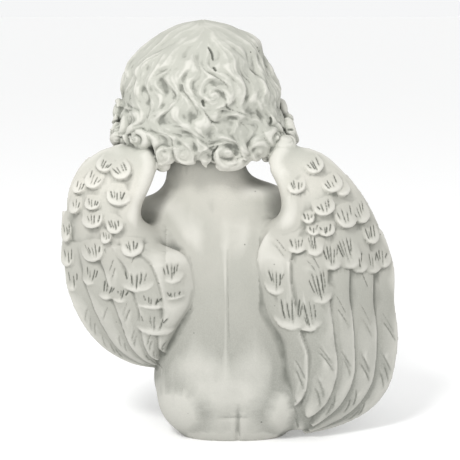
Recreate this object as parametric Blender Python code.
"""Seated cherub with folded wings, cast in one piece. Metres, +Z up.

The figure faces -Y and its own left hand is on +X. The origin is on the floor, under
the middle of the figure's bounding box.
"""

import math

import bmesh
import bpy
import numpy as np
from mathutils import Matrix, Vector
from mathutils.kdtree import KDTree

# Driving dimensions
STATUE_HEIGHT = 0.330
WING_THICKNESS = 0.012
FEATHER_STEP = 0.0040
LOCK_WIDTH = 0.0105
LOCK_HEIGHT = 0.0060

# How deep a feather's root is set in, and how near the floor counts as on it
ROOT_DEPTH = 0.0030
FLOOR_BAND = 0.0006

# Fineness of the modelling
BODY_VOXEL = 0.0026
DETAIL_VOXEL = 0.0016
TRIANGLE_BUDGET = 9400

# The pose and the proportions are written in shares of the height: 330 shares from
# the floor to the top of the hair.
HEIGHT_SHARES = 330.0
SHARE = STATUE_HEIGHT / HEIGHT_SHARES


def at(x, y, z):
    """A point given in shares of the height."""
    return Vector((x, y, z)) * SHARE


def smooth_step(value, low, high):
    t = min(1.0, max(0.0, (value - low) / (high - low)))
    return t * t * (3.0 - 2.0 * t)


def along(points, t):
    """A point on the smooth curve through points, evenly spread for t from 0 to 1."""
    last = len(points) - 1
    place = min(max(t, 0.0), 1.0) * last
    i = min(int(place), last - 1)
    f = place - i
    p = [np.array(points[min(max(k, 0), last)], float) for k in range(i - 1, i + 3)]
    return 0.5 * (
        2.0 * p[1]
        + (p[2] - p[0]) * f
        + (2.0 * p[0] - 5.0 * p[1] + 4.0 * p[2] - p[3]) * f * f
        + (3.0 * p[1] - p[0] - 3.0 * p[2] + p[3]) * f ** 3
    )


# Simple masses

def ball(clay, centre, radii, turn=(0.0, 0.0, 0.0)):
    """An ellipsoid, turned about X, then Y, then Z in degrees."""
    spin = Matrix.Identity(4)
    for axis, angle in zip("XYZ", turn):
        spin = Matrix.Rotation(math.radians(angle), 4, axis) @ spin
    place = Matrix.Translation(at(*centre)) @ spin @ Matrix.Diagonal((*at(*radii), 1.0))
    bmesh.ops.create_icosphere(clay, subdivisions=3, radius=1.0, matrix=place)


def limb(clay, start, end, start_radius, end_radius):
    """A tapered limb with round ends."""
    a, b = at(*start), at(*end)
    run = b - a
    place = Matrix.Translation((a + b) / 2) @ run.to_track_quat("Z", "Y").to_matrix().to_4x4()
    bmesh.ops.create_cone(
        clay, cap_ends=True, segments=24, radius1=start_radius * SHARE,
        radius2=end_radius * SHARE, depth=run.length, matrix=place,
    )
    for centre, radius in ((start, start_radius), (end, end_radius)):
        ball(clay, centre, (radius, radius, radius))


def closed_grid(clay, top, bottom):
    """A closed shell between two grids of points of the same size."""
    rows, columns = len(top), len(top[0])
    upper = [[clay.verts.new(p) for p in row] for row in top]
    lower = [[clay.verts.new(p) for p in row] for row in bottom]
    for i in range(rows - 1):
        for j in range(columns - 1):
            clay.faces.new((upper[i][j], upper[i][j + 1], upper[i + 1][j + 1], upper[i + 1][j]))
            clay.faces.new((lower[i][j], lower[i + 1][j], lower[i + 1][j + 1], lower[i][j + 1]))
    for j in range(columns - 1):
        clay.faces.new((upper[0][j + 1], upper[0][j], lower[0][j], lower[0][j + 1]))
        clay.faces.new((upper[-1][j], upper[-1][j + 1], lower[-1][j + 1], lower[-1][j]))
    for i in range(rows - 1):
        clay.faces.new((upper[i][0], upper[i + 1][0], lower[i + 1][0], lower[i][0]))
        clay.faces.new((upper[i + 1][-1], upper[i][-1], lower[i][-1], lower[i + 1][-1]))


def tube(clay, path, outward, widths, heights, sides=10, square=1.0, heading=None):
    """A strand along path: outward is the way its back faces at each point. A square
    below 1 fills out the corners of its oval section. Its sections stand square to the
    path, or to heading if that is given."""
    rings = []
    for i, centre in enumerate(path):
        ahead = heading or (path[min(i + 1, len(path) - 1)] - path[max(i - 1, 0)]).normalized()
        side = ahead.cross(outward[i]).normalized()
        up = side.cross(ahead).normalized()
        ring = []
        for k in range(sides):
            angle = 2 * math.pi * k / sides
            c, d = math.cos(angle), math.sin(angle)
            ring.append(clay.verts.new(
                centre + side * (widths[i] * math.copysign(abs(c) ** square, c))
                + up * (heights[i] * math.copysign(abs(d) ** square, d))
            ))
        rings.append(ring)
    for a, b in zip(rings, rings[1:]):
        for k in range(sides):
            clay.faces.new((a[k], a[(k + 1) % sides], b[(k + 1) % sides], b[k]))
    clay.faces.new(list(reversed(rings[0])))
    clay.faces.new(rings[-1])


# The child's body

TRUNK = [
    # height, middle in x and y, half-width and half-depth, in shares
    (-8, -2, 2, 34, 24), (8, -2, 3, 50, 35), (34, -1, 4, 61, 43), (60, 0, 3, 59, 43),
    (86, 1, 1, 55, 40), (110, 3, -1, 50, 37), (134, 6, -3, 50, 36), (154, 8, -5, 54, 34),
    (171, 10, -7, 59, 31), (185, 12, -9, 57, 28), (197, 7, -9, 48, 25), (208, 18, -9, 33, 24),
    (236, 20, -9, 30, 25),
]


def add_trunk(clay):
    count = 34
    sections = [along(TRUNK, i / (count - 1)) for i in range(count)]
    path = [at(x, y, z) for z, x, y, _, _ in sections]
    widths = [w * SHARE for *_, w, _ in sections]
    depths = [d * SHARE for *_, d in sections]
    tube(clay, path, [Vector((0, 1, 0))] * count, widths, depths, sides=40, square=0.8,
         heading=Vector((0, 0, 1)))
    ball(clay, (27, 13, 34), (32, 32, 34))
    ball(clay, (-33, 13, 34), (32, 32, 34))
    ball(clay, (61, -13, 168), (22, 22, 23))
    ball(clay, (-46, -14, 171), (23, 22, 23))
    ball(clay, (4, -28, 84), (44, 30, 42))
    ball(clay, (-2, -52, 30), (40, 36, 42))


# By side, 1 on +X and -1 on -X: a hip's x, the shoulder, elbow and wrist, and the palm
HIPS = {1: 30, -1: -34}
ARMS = {
    1: ((57, -14, 163), (62, -64, 124), (6, -96, 130)),
    -1: ((-46, -16, 162), (-64, -62, 122), (-8, -90, 124)),
}
PALMS = {1: (-14, -96, 130), -1: (22, -90, 122)}


def add_leg(clay, side, hip_x):
    """One leg, drawn up; side is 1 on +X and -1 on -X."""
    hip = (hip_x, -12, 42)
    knee = (hip_x + 5 * side, -74, 100)
    ankle = (hip_x, -78, 22)
    limb(clay, hip, knee, 33, 23)
    limb(clay, knee, ankle, 22, 15)
    ball(clay, (hip_x + 3 * side, -62, 58), (23, 25, 38))
    ball(clay, (hip_x, -76, 14), (16, 18, 17))
    ball(clay, (hip_x + 3 * side, -102, 7), (17, 29, 15))


def add_arm(clay, side, shoulder, elbow, wrist, palm):
    limb(clay, shoulder, elbow, 21, 18)
    limb(clay, elbow, wrist, 18, 13)
    ball(clay, palm, (17, 13, 10), (0, 0, 12 * side))


def add_head(clay):
    ball(clay, (21, -6, 269), (49, 51, 49))
    ball(clay, (20, -27, 246), (39, 32, 35))
    for cheek_x in (37, 3):
        ball(clay, (cheek_x, -43, 237), (15, 15, 15))
    ball(clay, (20, -33, 231), (31, 25, 20))
    ball(clay, (20, -48, 222), (15, 13, 12))
    ball(clay, (20, -34, 273), (36, 23, 24))


def add_body(clay):
    add_trunk(clay)
    for side, hip_x in HIPS.items():
        add_leg(clay, side, hip_x)
    for side, joints in ARMS.items():
        add_arm(clay, side, *joints, PALMS[side])
    add_head(clay)


# Wings. Each outline is written in shares, (x, z), from the top of the arch to the tip.
# A band is one long flight feather: its two edges as shares of the way across the wing.
# Coverts are the short feathers: tip in x and z, width, length and lean in degrees.

WINGS = {
    "left": {
        "outer": [(64, 231), (86, 236), (112, 225), (128, 201), (132, 173), (132, 144),
                  (128, 117), (118, 93), (101, 72), (77, 59), (50, 55)],
        "inner": [(61, 230), (58, 217), (63, 201), (70, 185), (69, 171), (56, 159),
                  (36, 149), (28, 132), (29, 113), (41, 92), (49, 74), (50, 55)],
        "depth_inner": [20, 25, 29, 32, 33, 32, 30, 31, 32, 31, 24, 12],
        "depth_outer": [18, 18, 14, 8, 4, 3, 4, 6, 6, 6, 4],
        "bulge": 22,
        "bands": [0.0, 0.26, 0.46, 0.64, 0.82, 1.0],
        "band_start": 0.46,
        "coverts": [
            (59, 88, 34, 26, -4), (62, 109, 25, 14, -8), (44, 116, 18, 10, 4), (45, 128, 19, 24, 2),
            (97, 114, 16, 22, -14), (110, 124, 14, 22, -8), (124, 117, 12, 24, 6),
            (86, 113, 14, 16, -12), (73, 122, 30, 27, -3), (128, 156, 9, 24, 10),
            (105, 144, 20, 22, 14), (128, 136, 12, 22, 8), (75, 150, 18, 18, 6),
            (95, 160, 9, 13, 6), (87, 168, 14, 18, 18), (106, 171, 18, 17, 4),
            (121, 180, 10, 18, 0), (106, 185, 13, 14, 0), (86, 189, 19, 20, 2),
            (108, 201, 14, 20, -22), (80, 210, 17, 18, 34), (100, 214, 13, 16, -30),
            (119, 196, 10, 16, -16),
        ],
    },
    "right": {
        "outer": [(-45, 235), (-66, 232), (-83, 221), (-99, 203), (-113, 182), (-124, 156),
                  (-130, 132), (-130, 106), (-133, 80), (-131, 57), (-125, 37), (-110, 20),
                  (-85, 9), (-54, 4)],
        "inner": [(-36, 234), (-29, 220), (-36, 205), (-40, 189), (-37, 176), (-26, 163),
                  (-21, 147), (-24, 124), (-30, 102), (-40, 82), (-44, 56), (-46, 31), (-54, 4)],
        "depth_inner": [20, 25, 29, 32, 33, 32, 31, 32, 34, 35, 37, 36, 30],
        "depth_outer": [18, 17, 13, 8, 4, 2, 0, 0, 2, 4, 6, 8, 12, 18],
        "bulge": 20,
        "bands": [0.0, 0.22, 0.48, 0.64, 0.82, 1.0],
        "band_start": 0.36,
        "coverts": [
            (-63, 91, 26, 36, 14), (-49, 92, 31, 34, 2), (-72, 112, 22, 34, 12),
            (-36, 119, 19, 28, 2), (-102, 134, 17, 26, 14), (-113, 132, 17, 26, 8),
            (-121, 135, 15, 22, 4), (-95, 138, 21, 34, 16), (-52, 152, 16, 18, 4),
            (-79, 138, 19, 30, 4), (-66, 150, 16, 26, 8), (-112, 155, 13, 22, 10),
            (-64, 166, 11, 12, 0), (-74, 165, 15, 14, 2), (-92, 170, 18, 24, 14),
            (-104, 172, 15, 24, 16), (-61, 175, 10, 13, 10), (-74, 181, 18, 17, 16),
            (-52, 198, 15, 16, 8), (-82, 198, 16, 18, 26), (-68, 213, 15, 17, 30),
            (-89, 194, 12, 17, 22),
        ],
    },
}
ARM_GIRTH = 9.5
ARM_REACH = 0.52


def wing_point(wing, u, v):
    """The wing's back surface: u from its inner edge to its outer one, v from arch to tip."""
    inner, outer = along(wing["inner"], v), along(wing["outer"], v)
    depth_inner = along([(d,) for d in wing["depth_inner"]], v)[0]
    depth_outer = along([(d,) for d in wing["depth_outer"]], v)[0]
    x, z = inner * (1 - u) + outer * u
    swell = math.sin(math.pi * u ** 0.9) * math.sin(math.pi * min(v, 0.999)) ** 0.6
    y = depth_inner * (1 - u) + depth_outer * u + wing["bulge"] * swell
    return at(x, y, z)


def wing_axes(wing, u, v):
    """The surface's directions across and along the wing, and its normal, facing back."""
    step = 0.01
    u_low, u_high = max(0.0, u - step), min(1.0, u + step)
    v_low, v_high = max(0.0, v - step), min(1.0, v + step)
    across = (wing_point(wing, u_high, v) - wing_point(wing, u_low, v)) / (u_high - u_low)
    down = (wing_point(wing, u, v_high) - wing_point(wing, u, v_low)) / (v_high - v_low)
    normal = across.cross(down)
    if normal.y < 0:
        normal.negate()
    return across, down, normal.normalized()


def wing_thickness(u, v):
    """Thin at the outer edge, and run together with the child's side near the inner one."""
    edge = math.sin(math.pi * min(max(u, 0.0), 1.0)) ** 0.5
    end = math.sin(math.pi * min(max(v, 0.0), 1.0)) ** 0.5
    rooted = 2.2 * smooth_step(v, 0.45, 0.62) * (1.0 - smooth_step(u, 0.15, 0.6))
    return WING_THICKNESS * (0.35 + 0.65 * edge * end + rooted)


def add_wing_blade(clay, wing, rows=36, columns=18):
    top, bottom = [], []
    for i in range(rows):
        v = 0.01 + 0.98 * i / (rows - 1)
        top_row, bottom_row = [], []
        for j in range(columns):
            u = j / (columns - 1)
            point, normal = wing_point(wing, u, v), wing_axes(wing, u, v)[2]
            top_row.append(point)
            bottom_row.append(point - normal * wing_thickness(u, v))
        top.append(top_row)
        bottom.append(bottom_row)
    closed_grid(clay, top, bottom)


def add_wing_arm(clay, wing, count=26):
    """The rounded leading edge, from the shoulder blade round the loop to the arch."""
    path, radii = [], []
    for i in range(count):
        v = ARM_REACH * i / (count - 1)
        across, _, normal = wing_axes(wing, 0.0, v)
        sink = 22.0 * smooth_step(v, 0.28, ARM_REACH)
        path.append(wing_point(wing, 0.0, v) + across.normalized() * ARM_GIRTH * 0.75 * SHARE
                    - normal * ARM_GIRTH * 0.45 * SHARE - Vector((0, sink * SHARE, 0)))
        radii.append(ARM_GIRTH * SHARE * (0.95 + 0.6 * smooth_step(v, 0.25, ARM_REACH)))
    tube(clay, path, [Vector((0, 1, 0))] * count, radii, radii, sides=16)


def wing_map(wing, rows=90, columns=36):
    """Places on the wing to look its surface up by x and z."""
    places = []
    for i in range(rows):
        for j in range(columns):
            u, v = j / (columns - 1), 0.01 + 0.97 * i / (rows - 1)
            places.append((wing_point(wing, u, v), wing_axes(wing, u, v)[2]))
    tree = KDTree(len(places))
    for k, (point, _) in enumerate(places):
        tree.insert((point.x, 0.0, point.z), k)
    tree.balance()
    return places, tree


def on_wing(chart, x, z):
    """The point of the wing's back at x and z, in metres, and the normal there."""
    places, tree = chart
    near = tree.find_n((x, 0.0, z), 4)
    total, y, normal = 0.0, 0.0, Vector((0, 0, 0))
    for _, k, distance in near:
        point, facing = places[k]
        weight = 1.0 / (distance + 0.0004)
        lean = max(0.45, facing.y)
        y += weight * (point.y - (facing.x * (x - point.x) + facing.z * (z - point.z)) / lean)
        normal += facing * weight
        total += weight
    return Vector((x, y / total, z)), normal.normalized()


def add_covert(clay, chart, x, z, width, length, lean, rows=10, columns=7):
    """One short feather, tip at (x, z), standing proud at its rounded tip."""
    way = math.radians(lean)
    ahead = (-math.sin(way), -math.cos(way))
    side = (math.cos(way), -math.sin(way))
    top, bottom = [], []
    for i in range(rows):
        s = i / (rows - 1)
        end = math.sqrt(max(0.0, 1.0 - max(0.0, (s - 0.5) / 0.5) ** 2.4))
        half = 0.5 * width * max(0.12, (0.8 + 0.2 * s) * end)
        top_row, bottom_row = [], []
        for j in range(columns):
            t = 2.0 * j / (columns - 1) - 1.0
            back = length * (1.0 - s)
            px = (x - ahead[0] * back + side[0] * t * half) * SHARE
            pz = (z - ahead[1] * back + side[1] * t * half) * SHARE
            point, normal = on_wing(chart, px, pz)
            rise = FEATHER_STEP * (1.35 * s ** 1.2 - 0.3 + 0.4 * (1.0 - t * t) * end * s)
            top_row.append(point + normal * rise)
            bottom_row.append(point - normal * ROOT_DEPTH)
        top.append(top_row)
        bottom.append(bottom_row)
    closed_grid(clay, top, bottom)


def add_band(clay, wing, u_low, u_high, start, stop, back=True, rows=24, columns=7):
    """One long flight feather, highest along its outer edge."""
    top, bottom = [], []
    side = 1.0 if back else -1.0
    for i in range(rows):
        s = i / (rows - 1)
        v = start + (stop - start) * s
        round_end = math.sqrt(max(0.05, 1.0 - max(0.0, (s - 0.88) / 0.12) ** 2))
        middle, half = (u_low + u_high) / 2, (u_high - u_low) / 2 * 1.1 * round_end
        top_row, bottom_row = [], []
        for j in range(columns):
            t = 2.0 * j / (columns - 1) - 1.0
            u = min(max(middle + t * half, 0.0), 1.0)
            point, normal = wing_point(wing, u, v), wing_axes(wing, u, v)[2]
            if not back:
                point = point - normal * wing_thickness(u, v)
            rise = FEATHER_STEP * (0.1 + 0.35 * (1.0 + t) + 0.25 * (1.0 - t * t)) * min(1.0, 4 * s + 0.1)
            top_row.append(point + normal * side * rise)
            bottom_row.append(point - normal * side * ROOT_DEPTH)
        top.append(top_row)
        bottom.append(bottom_row)
    closed_grid(clay, top, bottom)


def add_wing_feathers(clay, wing, front_bands=6):
    bands = wing["bands"]
    count = len(bands) - 1
    for k in range(count - 1, -1, -1):
        stop = 0.985 - 0.02 * (count - 1 - k)
        add_band(clay, wing, bands[k], bands[k + 1], wing["band_start"], stop)
    chart = wing_map(wing)
    for covert in wing["coverts"]:
        add_covert(clay, chart, *covert)
    for k in range(front_bands):
        add_band(clay, wing, k / front_bands, (k + 1) / front_bands, 0.2, 0.97, back=False)


# Hair. Its mass is an upright form. Azimuth is in degrees from the back towards +X, and p
# runs from the crown to the hem, at even steps down the table. In front the form reaches as
# far as its smaller side.
HAIR_CENTRE = (22.0, -3.0)
HAIR_FORM = [
    # height, reach to the left, to the right and to the back
    (329, 0, 0, 0), (326, 16, 18, 15), (321, 27, 29, 25), (313, 37, 43, 36), (303, 49, 46, 45),
    (294, 57, 50, 51), (285, 60, 55, 54), (275, 61, 59, 56), (266, 62, 58, 56), (256, 63, 60, 55),
    (246, 64, 64, 53), (237, 64, 66, 49), (229, 62, 65, 45), (219, 56, 57, 38),
]
FRONT_HEM = 0.477


def hair_point(azimuth, p, lift=0.0):
    """A point of the hair's surface, or lift shares off it."""
    z, left, right, back = along(HAIR_FORM, p)
    a = math.radians(azimuth)
    side = left if math.sin(a) > 0 else right
    fore = back if math.cos(a) > 0 else min(left, right) * (1.04 - 0.28 * smooth_step(p, 0.4, 0.8))
    return at(HAIR_CENTRE[0] + (side + lift) * math.sin(a),
              HAIR_CENTRE[1] + (fore + lift) * math.cos(a),
              z + lift * max(0.0, 1.0 - 2.0 * p))


def hair_normal(azimuth, p):
    here = hair_point(azimuth, p)
    around = hair_point(azimuth + 2, p) - hair_point(azimuth - 2, p)
    down = hair_point(azimuth, min(1.0, p + 0.02)) - hair_point(azimuth, max(0.0, p - 0.02))
    normal = around.cross(down)
    centre = at(HAIR_CENTRE[0], HAIR_CENTRE[1], 262)
    if normal.dot(here - centre) < 0:
        normal.negate()
    return normal.normalized() if normal.length > 0 else Vector((0, 0, 1))


def hair_hem(azimuth):
    """How far down the form the hair reaches: to the nape behind, to the brow in front."""
    front = abs((azimuth + 180) % 360 - 180)
    return 1.0 - (1.0 - FRONT_HEM) * smooth_step(front, 134, 154)


def add_hair_mass(clay, rows=24, columns=72, thickness=32.0):
    """The body of the hair under the locks, open over the face."""
    top, bottom = [], []
    for j in range(columns + 1):
        azimuth = 360.0 * j / columns
        hem = hair_hem(azimuth)
        places = [hem * i / (rows - 1) for i in range(rows)]
        top.append([hair_point(azimuth, p, 1.0 - 15.0 * smooth_step(p, hem - 0.14, hem) ** 2)
                    for p in places])
        bottom.append([hair_point(azimuth, p, -thickness * min(1.0, 0.2 + i / 6))
                       for i, p in enumerate(places)])
    closed_grid(clay, top, bottom)


def hair_run():
    points = [np.array(along(HAIR_FORM, i / 40))[[0, 3]] for i in range(41)]
    return sum(float(np.linalg.norm(q - p)) for p, q in zip(points, points[1:]))


HAIR_RUN = hair_run()

# Broad locks as seen from behind: lines of x and z, from root to tip
BACK_LOCKS = [
    [(28, 322), (38, 317), (46, 310), (55, 303), (67, 295), (76, 283), (81, 272)],
    [(30, 312), (41, 306), (50, 298), (58, 289), (57, 280), (51, 272), (53, 261), (58, 253)],
    [(32, 308), (39, 301), (39, 291), (35, 284), (37, 275), (42, 267), (41, 259), (34, 251),
     (25, 245), (23, 235), (26, 224)],
    [(21, 311), (27, 301), (31, 290), (33, 281), (30, 272), (27, 264), (24, 258)],
    [(62, 297), (70, 287), (71, 278), (66, 270), (66, 263)],
    [(76, 281), (79, 271), (75, 265), (70, 256), (71, 248)],
    [(55, 280), (48, 271), (53, 261), (54, 252), (47, 245), (37, 241), (31, 233), (30, 223)],
    [(17, 311), (14, 305), (13, 298), (11, 292), (5, 286), (2, 278), (3, 270), (9, 265),
     (16, 264), (21, 267)],
    [(12, 318), (6, 308), (-1, 298), (-6, 287), (-7, 275), (-9, 264), (-6, 254), (-2, 244)],
    [(14, 325), (2, 320), (-10, 312), (-17, 302), (-21, 292), (-25, 280), (-29, 268),
     (-30, 257), (-32, 247)],
    [(2, 310), (-8, 304), (-13, 296), (-17, 283), (-17, 271), (-21, 260), (-26, 252),
     (-28, 242)],
    [(-8, 320), (-19, 311), (-25, 301), (-30, 291), (-34, 280), (-37, 271), (-38, 259),
     (-43, 249), (-49, 239)],
    [(19, 262), (11, 259), (2, 260), (-8, 259), (-16, 256)],
    [(20, 259), (24, 252), (21, 243), (19, 235), (20, 226), (17, 218)],
    [(3, 251), (-5, 244), (-9, 236), (-9, 227), (-5, 220), (3, 218), (10, 221)],
    [(63, 253), (58, 243), (55, 234), (53, 225), (49, 219)],
    [(51, 250), (46, 242), (42, 232), (41, 223)],
]
# Locks at the sides and over the brow, the same on both: azimuth, root, length, wave in
# degrees, phase and heading
SIDE_LOCKS = [
    (96, 0.10, 84, 24, 0.5, 0), (114, 0.08, 80, 24, 2.2, -6), (132, 0.08, 74, 24, 4.0, -20),
    (150, 0.08, 70, 22, 1.2, -46), (166, 0.07, 66, 18, 1.2, -72), (176, 0.06, 40, 16, 0.4, -30),
    (104, 0.40, 50, 28, 3.0, 0), (124, 0.36, 52, 28, 0.6, -6), (140, 0.36, 56, 24, 2.4, -10),
    (158, 0.20, 50, 20, 0.2, -50),
]
# Round curls as seen from behind: x, z, radius, and the way they wind
BACK_CURLS = [
    (13, 274, 10, 1), (2, 229, 13, -1), (71, 240, 11, 1), (50, 227, 9, 1), (35, 228, 10, -1),
    (19, 226, 8, 1), (-22, 229, 10, 1), (-34, 240, 10, -1), (-12, 225, 8, -1),
    (55, 219, 8, 1), (-30, 226, 8, 1),
]
# Curls at the sides and round the face: azimuth, p, radius, the way they wind, and lift
SIDE_CURLS = [
    (88, 0.67, 10, -1, 6), (86, 0.82, 11, 1, 5), (-86, 0.80, 12, -1, 6), (-98, 0.70, 11, 1, 6),
    (-66, 0.90, 10, 1, 0), (108, 0.76, 11, 1, 2), (106, 0.93, 11, -1, 0), (128, 0.68, 11, -1, 1),
    (132, 0.88, 11, 1, 0), (150, 0.80, 10, -1, 0), (-108, 0.92, 11, -1, 0),
    (-122, 0.70, 11, 1, 1), (-130, 0.88, 11, -1, 0), (-150, 0.80, 10, 1, 0), (112, 0.53, 9, 1, 0),
    (-112, 0.52, 9, -1, 0), (148, 0.58, 9, 1, 0), (-148, 0.58, 9, -1, 0), (147, 0.95, 9, 1, 0),
    (-146, 0.94, 9, -1, 0), (163, 0.45, 10, 1, 0), (178, 0.41, 10, -1, 0), (-167, 0.45, 10, 1, 0),
    (-155, 0.42, 9, -1, 0), (155, 0.56, 9, -1, 0), (-154, 0.56, 9, 1, 0),
]


def head_place(x, z):
    """Azimuth and p of a place seen from behind."""
    heights = [row[0] for row in HAIR_FORM]
    steps = [i / (len(heights) - 1) for i in range(len(heights))]
    p = float(np.interp(z, heights[::-1], steps[::-1]))
    _, left, right, _ = along(HAIR_FORM, p)
    across = (x - HAIR_CENTRE[0]) / max(left if x > HAIR_CENTRE[0] else right, 1.0)
    return math.degrees(math.asin(min(0.98, max(-0.98, across)))), p


def drawn_lock(drawn, count=28):
    return [head_place(*along(drawn, i / (count - 1))) for i in range(count)]


def wavy_lock(azimuth, start, length, wave, phase, heading, count=28):
    """Places along a lock that swings from side to side, down to the hem."""
    places, p = [(azimuth, start)], start
    for i in range(1, count):
        s = i / (count - 1)
        swing = wave * (0.5 + 0.5 * s) * math.sin(2.6 * math.pi * s + phase)
        way = math.radians(heading * (1.0 - s) + swing)
        radius = max(14.0, along(HAIR_FORM, p)[1])
        azimuth += math.degrees(math.sin(way) * length / count / radius)
        p = min(1.0, max(0.04, p + math.cos(way) * length / count / HAIR_RUN))
        if p > hair_hem(azimuth) + 0.03:
            break
        places.append((azimuth, p))
    return places


def add_lock(clay, places):
    """A broad low lock, flat at its root."""
    count = len(places)
    path = [hair_point(a, p, -2.5 * (1.0 - i / count) ** 2) for i, (a, p) in enumerate(places)]
    outward = [hair_normal(a, p) for a, p in places]
    widths, heights = [], []
    for i in range(count):
        s = i / (count - 1)
        spread = math.sin(math.pi * (0.08 + 0.80 * s)) ** 0.6
        widths.append(LOCK_WIDTH * 0.5 * spread)
        heights.append(LOCK_HEIGHT * 0.5 * spread * (0.3 + 0.7 * smooth_step(s, 0.0, 0.5)))
    tube(clay, path, outward, widths, heights, sides=8)


def add_curl(clay, azimuth, p, radius, wind, lift=0.0, count=24):
    """A thick lock wound round most of a turn, with a low lump inside it."""
    normal = hair_normal(azimuth, p)
    centre = hair_point(azimuth, p, lift) - normal * 0.10 * radius * SHARE
    up = (Vector((0, 0, 1)) - normal * normal.z).normalized()
    side = up.cross(normal).normalized()
    path, widths, heights = [], [], []
    for i in range(count):
        s = i / (count - 1)
        turn = wind * math.radians(-70 + 330 * s)
        reach = radius * (0.80 - 0.34 * s) * SHARE
        path.append(centre + side * (reach * math.sin(turn)) + up * (reach * math.cos(turn))
                    + normal * (radius * (0.16 * s - 0.10) * SHARE))
        swell = math.sin(math.pi * (0.12 + 0.72 * s)) ** 0.7
        widths.append(radius * 0.40 * swell * SHARE)
        heights.append(radius * 0.42 * swell * SHARE)
    tube(clay, path, [normal] * count, widths, heights)
    core = centre - normal * 0.35 * radius * SHARE
    bmesh.ops.create_icosphere(clay, subdivisions=2, radius=radius * 0.62 * SHARE,
                               matrix=Matrix.Translation(core))
    if lift:
        stem = (core - normal * lift * SHARE) / SHARE
        ball(clay, stem, [radius * 0.7] * 3)


def add_hair(clay):
    add_hair_mass(clay)
    for drawn in BACK_LOCKS:
        add_lock(clay, drawn_lock(drawn))
    for azimuth, start, length, wave, phase, heading in SIDE_LOCKS:
        for side, shift in ((1, 0.0), (-1, 0.9)):
            add_lock(clay, wavy_lock(azimuth * side, start, length, wave * side, phase + shift,
                                     heading * side))
    for x, z, radius, wind in BACK_CURLS:
        add_curl(clay, *head_place(x, z), radius, wind)
    for azimuth, p, radius, wind, lift in SIDE_CURLS:
        add_curl(clay, azimuth, p, radius, wind, lift)


# Small forms pressed into the surface. Each dab is a soft mound or hollow: its place in x
# and z, its spread across and up, and its rise, all in shares. The face is calm and evenly
# set out, and its dabs are given from its middle, the same on both sides.
FACE_X = 20.0
FACE_DABS = [
    (15, 256, 9.0, 6.0, -4.5), (15, 254.5, 6.6, 4.8, 4.6), (15, 251.4, 6.8, 1.0, -1.8),
    (14, 264, 11.0, 3.0, 1.8), (0, 257, 3.4, 8.0, 3.4), (0, 245, 4.2, 4.0, 7.0),
    (4.6, 243, 2.5, 2.3, 3.0), (3.0, 240.4, 1.6, 1.1, -1.6), (0, 238, 1.5, 2.2, -1.0),
    (3.4, 234.8, 3.8, 1.5, 2.4), (0, 230.6, 5.0, 1.9, 3.0), (0, 232.7, 7.6, 0.8, -2.4),
    (8.6, 232.8, 2.2, 2.0, -1.6), (0, 226.6, 5.5, 1.5, -1.4), (0, 221, 6.5, 4.5, 2.4),
    (19, 241, 9.0, 8.0, 2.4),
]
# Backbone, cleft, the crease above it and the shoulder blades
BACK_DABS = [
    (4, 116, 2.4, 42, 1.8), (-6, 8, 2.6, 14, -3.4), (-3, 22, 13, 1.8, -0.8),
    (-16, 163, 13, 20, 1.6), (34, 160, 13, 18, 1.6), (14, 158, 7, 26, -1.2),
]


def dab_rise(dabs, x, z):
    return sum(push * math.exp(-((x - across) / wide) ** 2 - ((z - height) / tall) ** 2)
               for across, height, wide, tall, push in dabs)


def press_dabs(obj):
    for vertex in obj.data.vertices:
        x, y, z = vertex.co / SHARE
        off = abs(x - FACE_X)
        front = smooth_step(-y, 22, 38) * (1.0 - smooth_step(off, 26, 36))
        if front > 0 and 205 < z < 285:
            vertex.co.y -= dab_rise(FACE_DABS, off, z) * front * SHARE
        elif y > 12 and -40 < x < 50 and z < 195:
            vertex.co.y += dab_rise(BACK_DABS, x, z) * smooth_step(y, 12, 20) * SHARE


def add_hand(clay, palm, side):
    """Four fingers and a thumb, hanging over the arm below; side is the way they point."""
    x, y, z = palm
    for k in range(4):
        knuckle = (x + 9 * side, y - 8 + 4.6 * k, z + 3 - 0.8 * abs(k - 1.5))
        middle = (x + 18 * side, y - 9 + 4.8 * k, z + 1)
        tip = (x + 23 * side, y - 9 + 4.8 * k, z - 7)
        limb(clay, knuckle, middle, 3.9, 3.5)
        limb(clay, middle, tip, 3.5, 2.8)
    limb(clay, (x, y - 9, z - 1), (x + 10 * side, y - 14, z - 6), 4.4, 3.4)


def add_toes(clay, foot_x, side):
    for k in range(5):
        size = 6.0 if k == 0 else 4.6 - 0.35 * k
        ball(clay, (foot_x + side * (5.2 * k - 9.5), 1.6 * k - 127, size - 1.0),
             (size * 0.85, size * 1.5, size))


# Putting the statue together

def new_object(name, clay):
    bmesh.ops.recalc_face_normals(clay, faces=clay.faces)
    mesh = bpy.data.meshes.new(name)
    clay.to_mesh(mesh)
    clay.free()
    obj = bpy.data.objects.new(name, mesh)
    bpy.context.scene.collection.objects.link(obj)
    return obj


def apply_modifiers(obj):
    graph = bpy.context.evaluated_depsgraph_get()
    mesh = bpy.data.meshes.new_from_object(obj.evaluated_get(graph))
    obj.modifiers.clear()
    obj.data = mesh


def fuse(obj, voxel, rounds, factor=0.5):
    """Runs everything in the object together into one skin and softens it."""
    remesh = obj.modifiers.new("Fuse", "REMESH")
    remesh.mode = "VOXEL"
    remesh.voxel_size = voxel
    if rounds:
        soften = obj.modifiers.new("Soften", "SMOOTH")
        soften.factor = factor
        soften.iterations = rounds
    apply_modifiers(obj)


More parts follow.
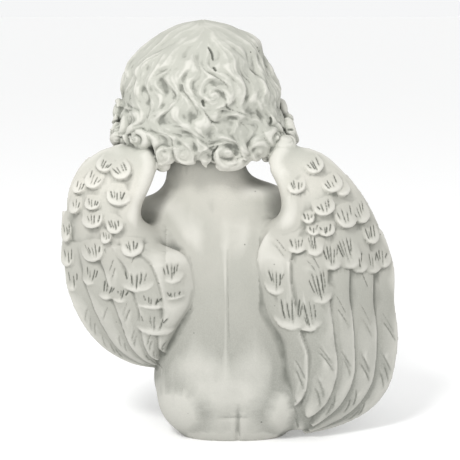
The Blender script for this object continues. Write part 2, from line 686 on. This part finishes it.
def keep_outer_skin(obj):
    """Drops the small closed skins left inside, so that the casting is solid."""
    shape = bmesh.new()
    shape.from_mesh(obj.data)
    shape.faces.ensure_lookup_table()
    seen, largest = set(), []
    for face in shape.faces:
        if face in seen:
            continue
        seen.add(face)
        island, edge_of = [face], [face]
        while edge_of:
            for edge in edge_of.pop().edges:
                for other in edge.link_faces:
                    if other not in seen:
                        seen.add(other)
                        island.append(other)
                        edge_of.append(other)
        if len(island) > len(largest):
            largest = island
    kept = set(largest)
    bmesh.ops.delete(shape, geom=[f for f in shape.faces if f not in kept], context="FACES")
    shape.to_mesh(obj.data)
    shape.free()


def cut_flat_below(obj):
    """Cuts the underside off flat on the floor."""
    shape = bmesh.new()
    shape.from_mesh(obj.data)
    for vertex in shape.verts:
        if abs(vertex.co.z) < FLOOR_BAND:
            vertex.co.z = 0.0
    bmesh.ops.bisect_plane(
        shape, geom=shape.verts[:] + shape.edges[:] + shape.faces[:], dist=1e-6,
        plane_co=(0, 0, 0), plane_no=(0, 0, 1), clear_inner=True,
    )
    edges = [e for e in shape.edges if len(e.link_faces) == 1]
    bmesh.ops.holes_fill(shape, edges=edges, sides=0)
    bmesh.ops.triangulate(shape, faces=shape.faces[:])
    shape.to_mesh(obj.data)
    shape.free()


def reduce_to(obj, triangles):
    obj.data.update()
    now = sum(len(p.vertices) - 2 for p in obj.data.polygons)
    modifier = obj.modifiers.new("Reduce", "DECIMATE")
    modifier.ratio = triangles / now
    modifier.use_collapse_triangulate = True
    apply_modifiers(obj)


def centre_on_base(obj):
    corners = np.array([v.co for v in obj.data.vertices])
    middle = (corners.min(0) + corners.max(0)) / 2
    obj.data.transform(Matrix.Translation((-middle[0], -middle[1], 0.0)))


def cast_stone():
    material = bpy.data.materials.new("cast_stone")
    material.use_nodes = True
    shader = material.node_tree.nodes["Principled BSDF"]
    shader.inputs["Base Color"].default_value = (0.66, 0.66, 0.60, 1.0)
    shader.inputs["Roughness"].default_value = 0.85
    shader.inputs["Metallic"].default_value = 0.0
    return material


def build_cherub():
    body = bmesh.new()
    add_body(body)
    for wing in WINGS.values():
        add_wing_blade(body, wing)
        add_wing_arm(body, wing)
    figure = new_object("cherub", body)
    fuse(figure, BODY_VOXEL, 22)
    clay = bmesh.new()
    clay.from_mesh(figure.data)
    bpy.data.objects.remove(figure)
    for wing in WINGS.values():
        add_wing_feathers(clay, wing)
    add_hair(clay)
    for side, palm in PALMS.items():
        add_hand(clay, palm, -side)
    for side, hip_x in HIPS.items():
        add_toes(clay, hip_x + 3 * side, side)
    statue = new_object("cherub", clay)
    fuse(statue, DETAIL_VOXEL, 2)
    press_dabs(statue)
    keep_outer_skin(statue)
    reduce_to(statue, TRIANGLE_BUDGET)
    cut_flat_below(statue)
    centre_on_base(statue)
    statue.data.materials.clear()
    statue.data.materials.append(cast_stone())
    statue.data.shade_smooth()
    return statue


for old in list(bpy.data.objects):
    bpy.data.objects.remove(old)
build_cherub()
